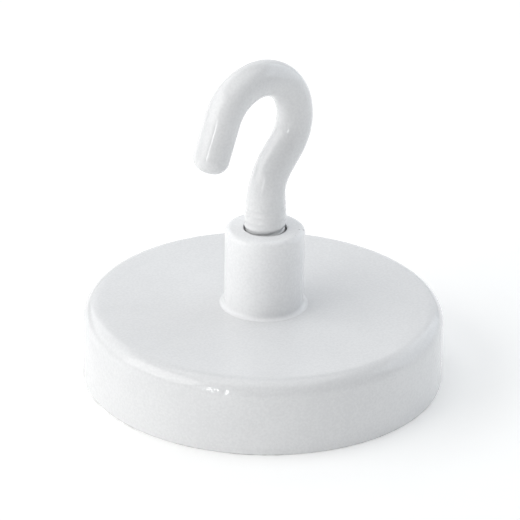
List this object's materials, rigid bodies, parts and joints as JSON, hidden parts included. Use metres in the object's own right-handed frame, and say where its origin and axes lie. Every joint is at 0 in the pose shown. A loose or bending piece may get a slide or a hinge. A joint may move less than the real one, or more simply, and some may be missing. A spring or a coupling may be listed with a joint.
{
  "type": "hook pot magnet",
  "caption": "Painted shallow pot magnet: a ferrite ring in a steel cup clamps to flat steel, and a screwed-in wire hook on its threaded bush carries a cord or line.",
  "frame": {"origin": "centre of the magnet's contact face, on the axis of the bush", "axes": "+Z along the bush, away from the steel that the magnet holds on to; the hook is bent in the XZ plane and its mouth faces -X"},
  "size_m": [0.036, 0.036, 0.034],
  "materials": {
    "pot_paint": "gloss white paint on pressed steel sheet",
    "bush_paint": "gloss white paint on turned steel",
    "ferrite": "ground hard ferrite, dark grey and matte",
    "adhesive": "cured epoxy, amber grey",
    "hook_paint": "gloss white paint on bent steel wire"
  },
  "bodies": {
    "base": {"steel_pot": "pot_paint", "threaded_bush": "bush_paint", "ferrite_ring": "ferrite", "magnet_adhesive": "adhesive"},
    "hook": {"hook": "hook_paint"}
  },
  "joints": [
    {"name": "hook_turn", "type": "hinge", "parent": "base", "child": "hook", "pos_m": [0, 0, 0.016], "axis": [0, 0, 1], "range_deg": [-180, 180]}
  ]
}
